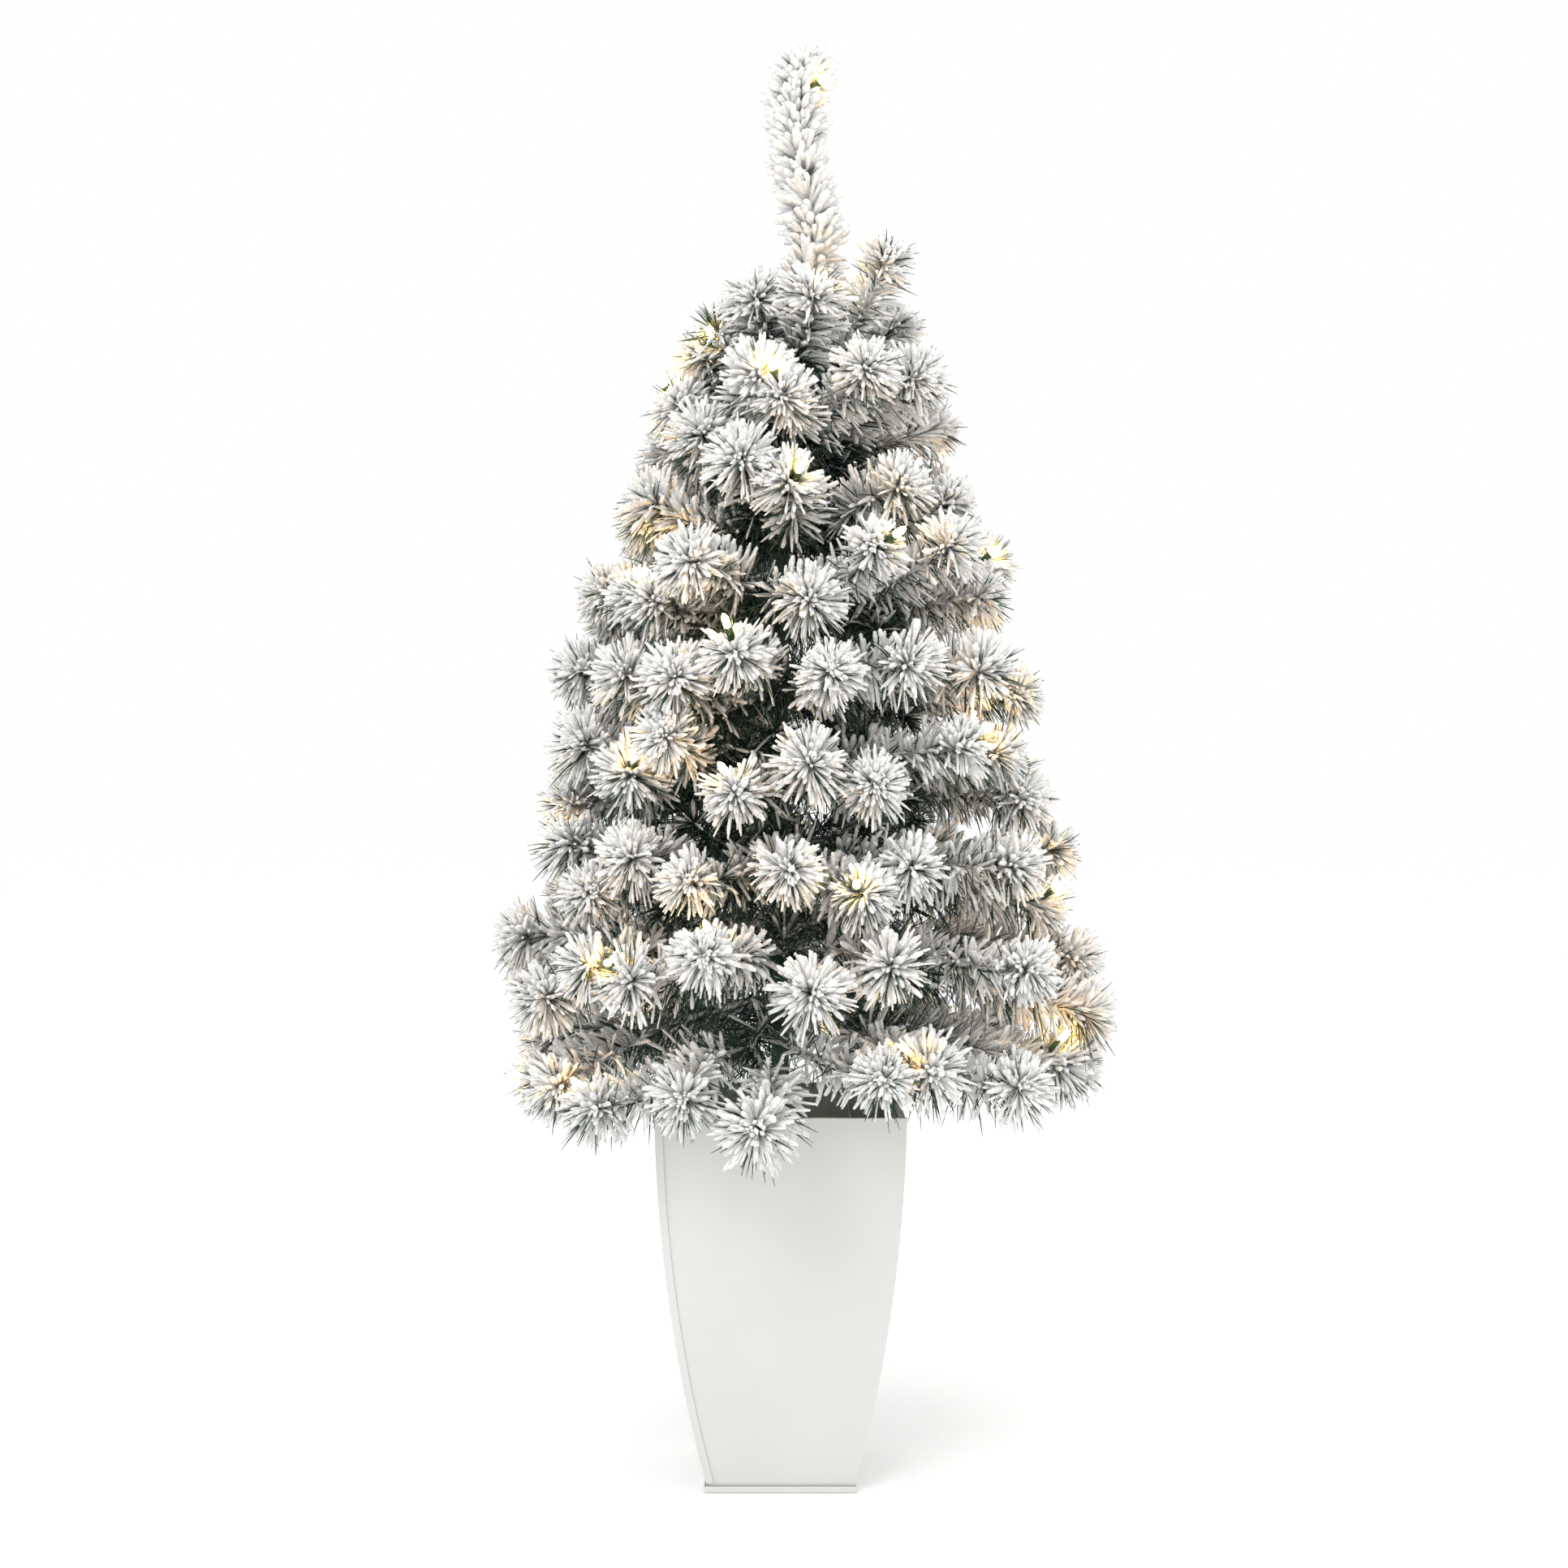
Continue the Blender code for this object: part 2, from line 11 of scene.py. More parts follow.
import bpy
import numpy as np
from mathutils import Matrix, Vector


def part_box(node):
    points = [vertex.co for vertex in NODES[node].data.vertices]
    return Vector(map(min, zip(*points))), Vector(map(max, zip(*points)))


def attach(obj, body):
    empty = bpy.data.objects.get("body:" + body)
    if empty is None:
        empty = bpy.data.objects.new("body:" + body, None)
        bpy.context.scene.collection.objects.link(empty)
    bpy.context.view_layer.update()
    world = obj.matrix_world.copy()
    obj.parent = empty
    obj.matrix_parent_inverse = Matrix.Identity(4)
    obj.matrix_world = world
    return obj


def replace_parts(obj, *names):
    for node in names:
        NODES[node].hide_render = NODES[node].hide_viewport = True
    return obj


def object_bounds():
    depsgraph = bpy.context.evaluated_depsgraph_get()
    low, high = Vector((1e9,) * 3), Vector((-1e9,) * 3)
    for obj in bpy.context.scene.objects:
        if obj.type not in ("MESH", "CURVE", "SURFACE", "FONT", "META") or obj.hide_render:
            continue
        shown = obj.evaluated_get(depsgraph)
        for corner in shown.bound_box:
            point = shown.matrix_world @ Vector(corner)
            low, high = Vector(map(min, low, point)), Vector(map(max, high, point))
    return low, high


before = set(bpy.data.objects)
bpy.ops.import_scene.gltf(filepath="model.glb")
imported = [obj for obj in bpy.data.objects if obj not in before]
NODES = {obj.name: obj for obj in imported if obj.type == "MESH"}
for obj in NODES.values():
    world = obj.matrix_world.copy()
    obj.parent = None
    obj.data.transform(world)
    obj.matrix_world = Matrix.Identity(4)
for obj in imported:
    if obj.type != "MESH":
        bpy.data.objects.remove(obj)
CAD_BOX = [list(corner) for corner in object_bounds()]

# ---------------------------------------------------------------- the tree's layout, as the design sets it

GAP = 0.0003
POLE_R = 0.007
BINDING_WALL = 0.006
BINDING_R = POLE_R + GAP + BINDING_WALL
NECK_L = 0.0045
PLANTER_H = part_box("planter_panel_front")[1].z
FIRST_TIER_Z = PLANTER_H + 0.080
TIER_PITCH = 0.060
OUTER_FORK = 0.38
INNER_FORK = 0.52
FORK_STAGGER = 0.03
OUTER_TIPS_FROM = 0.8
KNEE_SHARE = 0.5
STEM_PAST_FORK = 0.005
TIP_ZIGZAG = 0.012
TIP_TURN_UP = 8.0
SIDE_SHIFT = 0.017
REACH_SPREAD = 0.045
AZIMUTH_SPREAD = 0.20
HEIGHT_SPREAD = 0.008

# Tiers, lowest first: branches, tips on each, azimuth of the first branch, reach, rise in degrees
TIERS = (
    (5, 4, -101.0, 0.210, -14.0),
    (5, 4, -88.0, 0.217, -8.5),
    (5, 4, -82.0, 0.190, -5.0),
    (5, 4, -75.0, 0.175, 0.0),
    (4, 4, -89.0, 0.170, 5.0),
    (4, 4, -100.0, 0.150, 12.0),
    (4, 3, -105.0, 0.124, 19.0),
    (3, 4, -96.0, 0.107, 27.0),
    (3, 3, -100.0, 0.075, 40.0),
)

POLE_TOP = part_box("trunk_pole")[1].z
LEADER_BEND = (
    (0.004, 0.001),
    (0.026, 0.014),
    (0.058, 0.028),
    (0.100, 0.022),
    (0.140, 0.014),
    (0.172, 0.013),
    (0.203, 0.018),
)
UP = Vector((0.0, 0.0, 1.0))

# ---------------------------------------------------------------- needles, wires and lamps

FLOCK_NEEDLE_L = 0.034
FLOCK_NEEDLE_R = 0.0012
BARE_NEEDLE_L = 0.037
BARE_NEEDLE_R = 0.00044
FORWARD_LENGTH = 0.60
FLOCK_PER_TIP = 400
BARE_PER_TIP = 200
FLOCK_PER_STEM = 14
BARE_PER_STEM = 130
FLOCK_PER_TWIG = 16
BARE_PER_TWIG = 190
FLOCK_ON_LEADER = 1250
BARE_ON_LEADER = 300
UNFLOCKED_SHARE = 0.22
LAMP_CLEARING = 0.0085
CROWN = 0.16
TIP_SWAY = 0.022
TIP_LIFT = 0.015
TRIM_SHARE = 0.03
TRIM_PROUD = 0.0078
TIP_WIRE_R = 0.0021
STEM_WIRE_R = 0.0027
TWIG_WIRE_R = 0.0012
LEADER_WIRE_R = 0.0030
ROSETTE = 0.30
SEED = 20

# How needles stand: leans from the wire in degrees, and the shares of needles that grow round its end
FLOCK_LEAN = (36.0, 80.0)
BARE_LEAN = (34.0, 86.0)
LEADER_LEAN = (42.0, 74.0)
BARE_ROSETTE = 0.12
CROWN_LEAN = 52.0
ROOT_CROWDING = 0.8
FAN_START = 0.90
FAN_SPAN = 0.10
FAN_DEPTH = 1.05
CROWN_START = 0.95
CROWN_SPAN = 0.05

# The share of needles kept, and what facing the sky (or, for bare ones, the ground) adds to it
FLOCK_KEPT = 0.52
FLOCK_KEPT_BY_SKY = 0.55
BARE_KEPT = 0.45
BARE_KEPT_BY_SHADE = 0.55
SNOW = 0.92
SNOW_SPREAD = 0.26
FULLNESS = 0.96
FULLNESS_SPREAD = 0.10
FLOCK_DROOP = 0.004

# How finely lines are cut, and where stems and twigs begin
LINE_SAMPLES = 60
TIP_SAMPLES = 14
STEM_SAMPLES = 10
TWIG_SAMPLES = 8
STEM_START_INSIDE = 0.003
TWIG_OFF_BINDING = 0.012
TWIG_FLATTENS = 0.4
RING_SLACK = 1e-6

# Filler twigs on the inner part of a stem: (share of the tier's reach, turn, rise, share as length)
TWIGS = ((0.22, 42.0, 24.0, 0.42), (0.30, -46.0, -26.0, 0.40), (0.16, -30.0, 48.0, 0.32))

# The string climbs from branch to branch and tier to tier, and clips a lamp to every third tip it passes.
# The lamps take turns at these shares of a tip's wire, and at these leans (to the side, up).
TIPS_PER_LAMP = 3
LAMP_SHARES = (0.92, 0.80, 0.88)
LAMP_LEANS = ((-0.3, 0.7), (0.3, 0.4), (-0.1, 1.0), (0.4, 0.1), (-0.4, 0.3))
HOLDER_R = 0.0030
HOLDER_L = 0.0120
HOLDER_COLLAR = 1.18
BULB_R = 0.0026
BULB_L = 0.0110
LAMP_OFF_WIRE = 0.0110
LAMP_FORWARD = 0.75
LAMP_NEIGHBOURHOOD = 0.08
BULB_GLOW = 130.0
LEAD_R = 0.00075
LEAD_BELOW_WIRE = 0.0035
LEADER_CORE_R = 0.0080
LEADER_LAMP_HEIGHT = 0.180
LEADER_LAMP_DIRECTION = (0.75, -0.50, 0.45)


def wobble(*keys):
    """A fixed pseudo-random value from -1 to 1 for these whole numbers."""
    mixed = math.sin(sum(k * w for k, w in zip(keys, (12.9898, 78.233, 37.719, 4.581))))
    return 2.0 * ((mixed * 43758.5453) % 1.0) - 1.0


def outward(azimuth, rise=0.0):
    """The unit vector that points this way round and this far above the horizon, both in degrees."""
    flat = math.cos(math.radians(rise))
    return Vector(
        (
            flat * math.cos(math.radians(azimuth)),
            flat * math.sin(math.radians(azimuth)),
            math.sin(math.radians(rise)),
        )
    )


def tier_height(tier):
    return FIRST_TIER_Z + TIER_PITCH * tier


def branch_azimuth(tier, branch):
    count, _, first, _, _ = TIERS[tier]
    return first + 360.0 / count * branch


def stem_point(tier, branch, reach):
    """A point on a branch's stem, this far out from the trunk's axis."""
    rise = math.radians(TIERS[tier][4])
    bent = max(0.0, reach - BINDING_R - NECK_L)
    return (
        outward(branch_azimuth(tier, branch)) * reach
        + UP * (tier_height(tier) + bent * math.tan(rise))
    )


def tip_ends(tier, branch, tip):
    """Where a tip forks from its stem, the knee that its curve leans to, and where its wire ends."""
    count, tips, _, tier_reach, rise = TIERS[tier]
    spacing = 360.0 / (count * tips)
    place = tip - (tips - 1) / 2
    azimuth = branch_azimuth(tier, branch) + spacing * (
        place + AZIMUTH_SPREAD * wobble(tier, branch, tip, 1)
    )
    reach = tier_reach * (1.0 + REACH_SPREAD * wobble(tier, branch, tip, 2))
    reach += SIDE_SHIFT * math.cos(math.radians(azimuth))
    zigzag = TIP_ZIGZAG if (tip + branch) % 2 else -TIP_ZIGZAG
    height = (
        tier_height(tier)
        + (reach - BINDING_R - NECK_L) * math.tan(math.radians(rise))
        + zigzag
        + HEIGHT_SPREAD * wobble(tier, branch, tip, 3)
    )
    outer = abs(place) > OUTER_TIPS_FROM * (tips - 1) / 2
    share = (OUTER_FORK if outer else INNER_FORK) + FORK_STAGGER * place
    fork = stem_point(tier, branch, tier_reach * share)
    end = outward(azimuth) * reach + UP * height
    knee = end - outward(azimuth, rise + TIP_TURN_UP) * ((end - fork).length * KNEE_SHARE)
    return fork, knee, end


def bezier(start, knee, end, t):
    return start * (1 - t) ** 2 + knee * 2 * t * (1 - t) + end * t * t


# ---------------------------------------------------------------- finishes


def new_finish(name, roughness):
    made = bpy.data.materials.new(name)
    made.use_nodes = True
    tree = made.node_tree
    shader = tree.nodes["Principled BSDF"]
    shader.inputs["Roughness"].default_value = roughness
    return made, tree, shader


def own_place(tree):
    return tree.nodes.new("ShaderNodeTexCoord").outputs["Object"]


def noise(tree, place, scale, detail=2.0):
    made = tree.nodes.new("ShaderNodeTexNoise")
    made.inputs["Scale"].default_value = scale
    made.inputs["Detail"].default_value = detail
    tree.links.new(place, made.inputs["Vector"])
    return made.outputs["Fac"]


def ramp(tree, value, stops):
    """Colours at these places along a value from 0 to 1."""
    made = tree.nodes.new("ShaderNodeValToRGB")
    tree.links.new(value, made.inputs["Fac"])
    band = made.color_ramp
    while len(band.elements) < len(stops):
        band.elements.new(0.5)
    for element, (place, colour) in zip(band.elements, stops):
        element.position = place
        element.color = (*colour, 1.0)
    return made.outputs["Color"]


def bumped(tree, shader, height, strength, distance):
    made = tree.nodes.new("ShaderNodeBump")
    made.inputs["Strength"].default_value = strength
    made.inputs["Distance"].default_value = distance
    tree.links.new(height, made.inputs["Height"])
    tree.links.new(made.outputs["Normal"], shader.inputs["Normal"])


def flock_finish():
    """White fibre: nearly white where thick, cooler and greyer in patches, with a rough, grainy surface."""
    made, tree, shader = new_finish("white_flock", 0.95)
    place = own_place(tree)
    patches = ramp(
        tree,
        noise(tree, place, 210.0, 4.0),
        ((0.28, (0.67, 0.69, 0.66)), (0.38, (0.885, 0.89, 0.87)), (0.52, (0.96, 0.957, 0.94))),
    )
    tree.links.new(patches, shader.inputs["Base Color"])
    bumped(tree, shader, noise(tree, place, 620.0, 4.0), 1.0, 0.0016)
    return made


def bare_finish():
    """Thin green plastic with grey flecks where a little flock has caught."""
    made, tree, shader = new_finish("bare_green_needle", 0.55)
    place = own_place(tree)
    flecks = ramp(
        tree,
        noise(tree, place, 260.0, 2.0),
        (
            (0.36, (0.010, 0.030, 0.016)),
            (0.54, (0.030, 0.072, 0.042)),
            (0.66, (0.14, 0.19, 0.16)),
            (0.78, (0.58, 0.62, 0.60)),
        ),
    )
    tree.links.new(flecks, shader.inputs["Base Color"])
    return made


def wire_finish():
    """Twisted wire dusted with flock, darker where it is bare."""
    made, tree, shader = new_finish("flocked_wire", 0.9)
    place = own_place(tree)
    dusted = ramp(
        tree,
        noise(tree, place, 220.0, 3.0),
        ((0.34, (0.20, 0.19, 0.17)), (0.48, (0.56, 0.56, 0.54)), (0.62, (0.80, 0.80, 0.80))),
    )
    tree.links.new(dusted, shader.inputs["Base Color"])
    bumped(tree, shader, noise(tree, place, 900.0, 2.0), 0.7, 0.0006)
    return made


def paint_finish():
    """Satin white paint: very slight unevenness in colour and gloss, and a faint orange-peel surface."""
    made, tree, shader = new_finish("satin_white_paint", 0.34)
    place = own_place(tree)
    tone = ramp(
        tree,
        noise(tree, place, 9.0, 3.0),
        ((0.30, (0.615, 0.622, 0.600)), (0.70, (0.650, 0.656, 0.634))),
    )
    tree.links.new(tone, shader.inputs["Base Color"])
    gloss = tree.nodes.new("ShaderNodeMapRange")
    gloss.inputs["To Min"].default_value = 0.30
    gloss.inputs["To Max"].default_value = 0.40
    tree.links.new(noise(tree, place, 40.0, 2.0), gloss.inputs["Value"])
    tree.links.new(gloss.outputs["Result"], shader.inputs["Roughness"])
    bumped(tree, shader, noise(tree, place, 700.0, 2.0), 0.06, 0.0004)
    return made


def mottled_finish(name, dark, light, scale, roughness, metallic=0.0, bump=0.2):
    """A plain finish with its own unevenness, for the tape, trunk paint, cement, steel and cable."""
    made, tree, shader = new_finish(name, roughness)
    shader.inputs["Metallic"].default_value = metallic
    place = own_place(tree)
    grain = noise(tree, place, scale, 4.0)
    tree.links.new(ramp(tree, grain, ((0.35, dark), (0.65, light))), shader.inputs["Base Color"])
    bumped(tree, shader, grain, bump, 0.0006)
    return made


def lamp_finish():
    """A lit bulb of clear warm glass, slightly uneven in its amber."""
    made, tree, shader = new_finish("lit_bulb", 0.2)
    shader.inputs["Base Color"].default_value = (1.0, 0.80, 0.45, 1.0)
    grain = noise(tree, own_place(tree), 300.0)
    amber = ramp(tree, grain, ((0.35, (1.0, 0.48, 0.10)), (0.65, (1.0, 0.58, 0.16))))
    tree.links.new(amber, shader.inputs["Emission Color"])
    shader.inputs["Emission Strength"].default_value = BULB_GLOW
    return made


FLOCK = flock_finish()
BARE = bare_finish()
WIRE = wire_finish()
PAINT = paint_finish()
CEMENT = mottled_finish("cast_cement", (0.30, 0.29, 0.27), (0.52, 0.51, 0.48), 90.0, 0.92, bump=0.7)
STEEL = mottled_finish("zinc_plate", (0.50, 0.51, 0.52), (0.68, 0.69, 0.70), 160.0, 0.36, 1.0)
TRUNK_PAINT = mottled_finish("trunk_green", (0.025, 0.050, 0.030), (0.055, 0.095, 0.062), 70.0, 0.5)
TAPE = mottled_finish("binding_tape", (0.035, 0.070, 0.042), (0.075, 0.130, 0.085), 240.0, 0.75, bump=0.6)
CABLE = mottled_finish("cable_jacket", (0.020, 0.062, 0.034), (0.042, 0.105, 0.060), 200.0, 0.42)
LAMP = lamp_finish()


# ---------------------------------------------------------------- shapes modelled once


def deselect():
    if bpy.context.object and bpy.context.object.mode != "OBJECT":
        bpy.ops.object.mode_set(mode="OBJECT")
    bpy.ops.object.select_all(action="DESELECT")


def arrays_of(obj):
    """A modelled shape's points and faces, as arrays to copy from."""
    mesh = obj.data
    points = np.array([v.co for v in mesh.vertices])
    loops = np.concatenate([np.array(p.vertices) for p in mesh.polygons])
    sizes = np.array([len(p.vertices) for p in mesh.polygons])
    bpy.data.objects.remove(obj, do_unlink=True)
    return points, loops, sizes


def select_ring(obj, height):
    """Selects, for edit mode, the points of obj at this height."""
    bpy.ops.mesh.select_all(action="DESELECT")
    bpy.ops.object.mode_set(mode="OBJECT")
    for vert in obj.data.vertices:
        vert.select = abs(vert.co.z - height) < RING_SLACK
    bpy.ops.object.mode_set(mode="EDIT")


def round_shape(name, sides, length, stations):
    """A round piece up Z from the origin through (share of length, radius) stations, closed at its ends."""
    deselect()
    at, radius = 0.0, stations[0][1]
    bpy.ops.mesh.primitive_circle_add(
        vertices=sides, radius=radius, fill_type="NGON", location=(0, 0, 0)
    )
    made = bpy.context.object
    made.name = name
    bpy.ops.object.mode_set(mode="EDIT")
    bpy.ops.mesh.select_mode(type="VERT")
    for share, wanted in stations[1:]:
        step = share * length - at
        select_ring(made, at)
        bpy.ops.mesh.extrude_region_move(TRANSFORM_OT_translate={"value": (0, 0, step)})
        grow = wanted / radius
        bpy.ops.transform.resize(value=(grow, grow, 1.0), center_override=(0, 0, at + step))
        at, radius = share * length, wanted
    bpy.ops.mesh.select_all(action="SELECT")
    bpy.ops.mesh.normals_make_consistent(inside=False)
    bpy.ops.object.mode_set(mode="OBJECT")
    return arrays_of(made)


def flocked_needle(waist, pinch, swell, blunt):
    """A needle thick with fibre: narrow at its root, lumpy along it and blunt at its end."""
    stations = (
        (0.0, FLOCK_NEEDLE_R * 0.5),
        (waist, FLOCK_NEEDLE_R * pinch),
        (0.84, FLOCK_NEEDLE_R * swell),
        (1.0, FLOCK_NEEDLE_R * blunt),
    )
    return round_shape("flocked_needle", 4, FLOCK_NEEDLE_L, stations)


def bare_needle():
    stations = ((0.0, BARE_NEEDLE_R), (0.7, BARE_NEEDLE_R), (1.0, BARE_NEEDLE_R * 0.35))
    return round_shape("bare_needle", 3, BARE_NEEDLE_L, stations)


def straight_rod(rings, sides):
    """A rod of unit length and radius, cut into rings so that it can be laid along a line."""
    stations = [(ring / (rings - 1), 1.0) for ring in range(rings)]
    return round_shape("rod", sides, 1.0, stations)


def lamp_holder():
    """A tapered foot, a straight body and a wider collar round the bulb."""
    stations = (
        (0.0, HOLDER_R * 0.6),
        (0.14, HOLDER_R),
        (0.82, HOLDER_R),
        (0.86, HOLDER_R * HOLDER_COLLAR),
        (1.0, HOLDER_R * HOLDER_COLLAR),
    )
    return round_shape("lamp_holder", 10, HOLDER_L, stations)


def lamp_bulb():
    stations = (
        (0.0, BULB_R * 0.92),
        (0.20, BULB_R),
        (0.62, BULB_R * 0.94),
        (0.82, BULB_R * 0.66),
        (0.94, BULB_R * 0.34),
        (1.0, BULB_R * 0.10),
    )
    return round_shape("lamp_bulb", 10, BULB_L, stations)


# ---------------------------------------------------------------- copying


def frames_from(directions, turn):
    """Rotation matrices that carry +Z to each direction, turned about it by each angle."""
    z = directions / np.linalg.norm(directions, axis=1, keepdims=True)
    helper = np.where(np.abs(z[:, 2:3]) < 0.9, [[0.0, 0.0, 1.0]], [[1.0, 0.0, 0.0]])
    x = np.cross(helper, z)
    x /= np.linalg.norm(x, axis=1, keepdims=True)
    y = np.cross(z, x)
    c, s = np.cos(turn)[:, None], np.sin(turn)[:, None]
    return np.stack((x * c + y * s, y * c - x * s, z), axis=2)


class Bundle:
    """Collects copies of modelled shapes, each with its own points, and makes one mesh of them."""

    def __init__(self):
        self.points = []
        self.loops = []
        self.sizes = []
        self.count = 0

    def put(self, shape, placed):
        """Adds copies of shape whose points are already placed: an array of (copies, points, 3)."""
        _, loops, sizes = shape
        copies, each = placed.shape[:2]
        starts = self.count + np.arange(copies)[:, None] * each
        self.points.append(placed.reshape(-1, 3))
        self.loops.append((starts + loops[None]).ravel())
        self.sizes.append(np.tile(sizes, copies))
        self.count += copies * each

    def add(self, shape, roots, directions, lengths, widths, turns, droop):
        """Copies of shape at roots, along directions, scaled in length and (width, depth), bent by droop."""
        points = shape[0]
        turned = frames_from(directions, turns)
        local = points[None] * np.column_stack((widths, lengths))[:, None, :]
        placed = np.einsum("nij,nkj->nki", turned, local) + roots[:, None, :]
        along = points[:, 2] / np.max(points[:, 2])
        placed[:, :, 2] -= droop[:, None] * along[None] ** 2
        self.put(shape, placed)

    def add_one(self, shape, root, direction):
        one, none = np.ones(1), np.zeros(1)
        self.add(shape, np.array([root]), np.array([direction]), one, np.ones((1, 2)), none, none)

    def add_wire(self, line, radius, rod):
        """Lays the straight rod along a line, as thick as radius."""
        points = rod[0]
        centres, tangents = curve_points(line, WIRE_SAMPLES)
        frames = frames_from(tangents, np.zeros(WIRE_SAMPLES))
        ring = np.round(points[:, 2] * (WIRE_SAMPLES - 1)).astype(int)
        offset = frames[ring][:, :, 0] * points[:, :1] + frames[ring][:, :, 1] * points[:, 1:2]
        self.put(rod, (centres[ring] + radius * offset)[None])

    def make(self, name, finish, body, slot):
        """One smooth mesh of all the copies, which rides on body."""
        points = np.concatenate(self.points)
        loops = np.concatenate(self.loops)
        sizes = np.concatenate(self.sizes)
        mesh = bpy.data.meshes.new(name)
        mesh.vertices.add(len(points))
        mesh.vertices.foreach_set("co", points.astype(np.float32).ravel())
        mesh.loops.add(len(loops))
        mesh.loops.foreach_set("vertex_index", loops.astype(np.int32))
        mesh.polygons.add(len(sizes))
        begins = np.concatenate(([0], np.cumsum(sizes)[:-1]))
        mesh.polygons.foreach_set("loop_start", begins.astype(np.int32))
        mesh.polygons.foreach_set("use_smooth", np.full(len(sizes), True))
        mesh.update(calc_edges=True)
        mesh.materials.append(finish)
        made = bpy.data.objects.new(name, mesh)
        bpy.context.scene.collection.objects.link(made)
        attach(made, body)
        return made


WIRE_SAMPLES = 16
FLOCK_SHAPES = [
    flocked_needle(0.45, 0.80, 1.15, 0.60),
    flocked_needle(0.35, 1.10, 0.85, 0.70),
    flocked_needle(0.60, 0.70, 1.45, 0.95),
    flocked_needle(0.50, 1.30, 1.00, 0.45),
]
BARE_SHAPE = bare_needle()
ROD = straight_rod(WIRE_SAMPLES, 6)
THIN_ROD = straight_rod(WIRE_SAMPLES, 4)
HOLDER = lamp_holder()
BULB = lamp_bulb()


# ---------------------------------------------------------------- a brush of needles along a line


def curve_points(line, count):
    """Points and tangents spread evenly along a polyline given as an array."""
    steps = np.linalg.norm(np.diff(line, axis=0), axis=1)
    run = np.concatenate(([0.0], np.cumsum(steps)))
    at = np.linspace(0.0, run[-1], count)
    points = np.stack([np.interp(at, run, line[:, i]) for i in range(3)], axis=1)
    tangents = np.gradient(points, axis=0)
    tangents /= np.linalg.norm(tangents, axis=1, keepdims=True)
    return points, tangents


def sprout(line, count, rng, lean_from, lean_to, rosette, start=0.0):
    """Roots and directions of needles round a line: level with it at the end, more open further back.

    A share of them, rosette, is packed into the last part of the line, whose needles fan out round its end.
    """
    points, tangents = curve_points(line, LINE_SAMPLES)
    at = start + (1.0 - start) * rng.random(count) ** ROOT_CROWDING
    lot = rng.random(count)
    fanned = lot < rosette
    crowned = lot > 1.0 - CROWN * (rosette > 0.0)
    at[fanned] = FAN_START + FAN_SPAN * at[fanned]
    at[crowned] = CROWN_START + CROWN_SPAN * at[crowned]
    index = at * (len(points) - 1)
    low = np.clip(index.astype(int), 0, len(points) - 2)
    share = (index - low)[:, None]
    roots = points[low] * (1 - share) + points[low + 1] * share
    tangent = tangents[low]
    side = frames_from(tangent, rng.random(count) * 2 * np.pi)[:, :, 0]
    lean = np.radians(rng.uniform(lean_from, lean_to, count))
    lean[fanned] = np.arccos(1.0 - rng.random(fanned.sum()) * FAN_DEPTH)
    lean[crowned] = np.radians(CROWN_LEAN) * np.sqrt(rng.random(crowned.sum()))
    directions = tangent * np.cos(lean)[:, None] + side * np.sin(lean)[:, None]
    return roots, directions, tangent


def trimmed(roots, directions, lengths, full):
    """Shortens needles, given as shares of full length, that would stand out past the tree's outline."""
    low, high = np.array(CAD_BOX[0]), np.array(CAD_BOX[1])
    proud = (high - low) * TRIM_SHARE + TRIM_PROUD
    for axis in (0, 1):
        way = directions[:, axis] * full
        past = np.where(way > 0, high[axis] + proud[axis], low[axis] - proud[axis])
        room = (past - roots[:, axis]) / np.where(np.abs(way) < 1e-9, 1e-9, way)
        lengths = np.where(np.abs(way) < 1e-9, lengths, np.minimum(lengths, room))
    return lengths


def tip_line(tier, branch, tip):
    """A tip's wire, with its outer part bent a little aside and up or down."""
    fork, knee, end = tip_ends(tier, branch, tip)
    aside = UP.cross(end - knee).normalized() * TIP_SWAY * wobble(tier, branch, tip, 5)
    sway = aside + UP * TIP_LIFT * wobble(tier, branch, tip, 6)
    shares = np.linspace(0, 1, TIP_SAMPLES)
    return np.array([bezier(fork, knee, end, t) + sway * t**3 for t in shares])


def stem_line(tier, branch):
    last = TIERS[tier][3] * (INNER_FORK + FORK_STAGGER / 2) + STEM_PAST_FORK
    reaches = np.linspace(BINDING_R - STEM_START_INSIDE, last, STEM_SAMPLES)
    return np.array([stem_point(tier, branch, reach) for reach in reaches])


def twig_line(tier, branch, share, turn, rise, length):
    """A short twig that curves up or down from the inner part of a stem."""
    reach = TIERS[tier][3]
    start = stem_point(tier, branch, max(reach * share, BINDING_R + TWIG_OFF_BINDING))
    way = outward(branch_azimuth(tier, branch) + turn, rise)
    level = outward(branch_azimuth(tier, branch) + turn, rise * TWIG_FLATTENS)
    steps = np.linspace(0.0, reach * length, TWIG_SAMPLES)
    return np.array([start + way * step * 0.5 + level * step * 0.5 for step in steps])


def lamp_place(line, share, aside, up):
    """Where a lamp's holder starts, the way the lamp points, and the wire's points up to its clip."""
    points, tangents = curve_points(line, WIRE_SAMPLES)
    at = int(round(share * (WIRE_SAMPLES - 1)))
    tangent = Vector(tangents[at])
    side = UP.cross(tangent).normalized()
    direction = (tangent * LAMP_FORWARD + side * aside + UP * up).normalized()
    return Vector(points[at]) + direction * LAMP_OFF_WIRE, direction, points[: at + 1]


def leader_axis(height):
    """The leader's axis at this height above the trunk's top."""
    heights = [low for low, _ in LEADER_BEND]
    asides = [aside for _, aside in LEADER_BEND]
    return Vector((float(np.interp(height, heights, asides)), 0.0, POLE_TOP + height))


